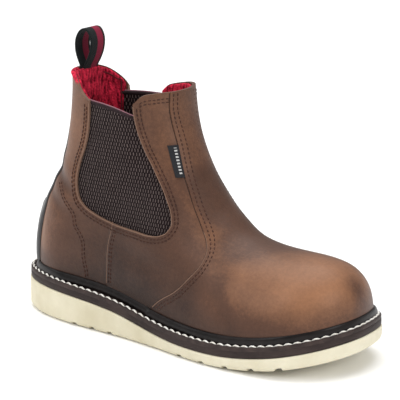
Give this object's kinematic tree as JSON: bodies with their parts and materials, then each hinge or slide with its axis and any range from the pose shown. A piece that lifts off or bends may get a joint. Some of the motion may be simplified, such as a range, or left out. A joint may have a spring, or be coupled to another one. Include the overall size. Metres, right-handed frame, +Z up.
{
  "type": "wedge sole work boot",
  "caption": "Pull-on leather work boot for the right foot with elastic side panels, a back pull loop, a stitched storm welt and a light rubber wedge sole.",
  "frame": {"origin": "on the floor, under the middle of the sole's length and width", "axes": "+X from the heel to the toe, +Y from the outer to the inner side, +Z up from the floor the boot stands on"},
  "size_m": [0.306, 0.1162, 0.2251],
  "materials": {
    "outsole": "matt blown rubber, cream",
    "midsole": "matt, dark plum brown",
    "welt": "waxed, half gloss, black brown, with light lockstitch",
    "insole": "dark felt",
    "upper": "oiled pull-up leather, brown, burnished lighter on the toe",
    "gore": "ribbed elastic webbing, black brown",
    "back_stay": "moulded, half gloss, black",
    "pull_loop": "woven webbing, charcoal and black with a red stripe",
    "side_tag": "woven tape, dark grey"
  },
  "bodies": {
    "root": {"outsole": "outsole", "midsole": "midsole", "welt": "welt", "insole": "insole", "upper": "upper", "gore_outer": "gore", "gore_inner": "gore", "back_stay": "back_stay", "pull_loop": "pull_loop", "side_tag": "side_tag"}
  },
  "joints": []
}
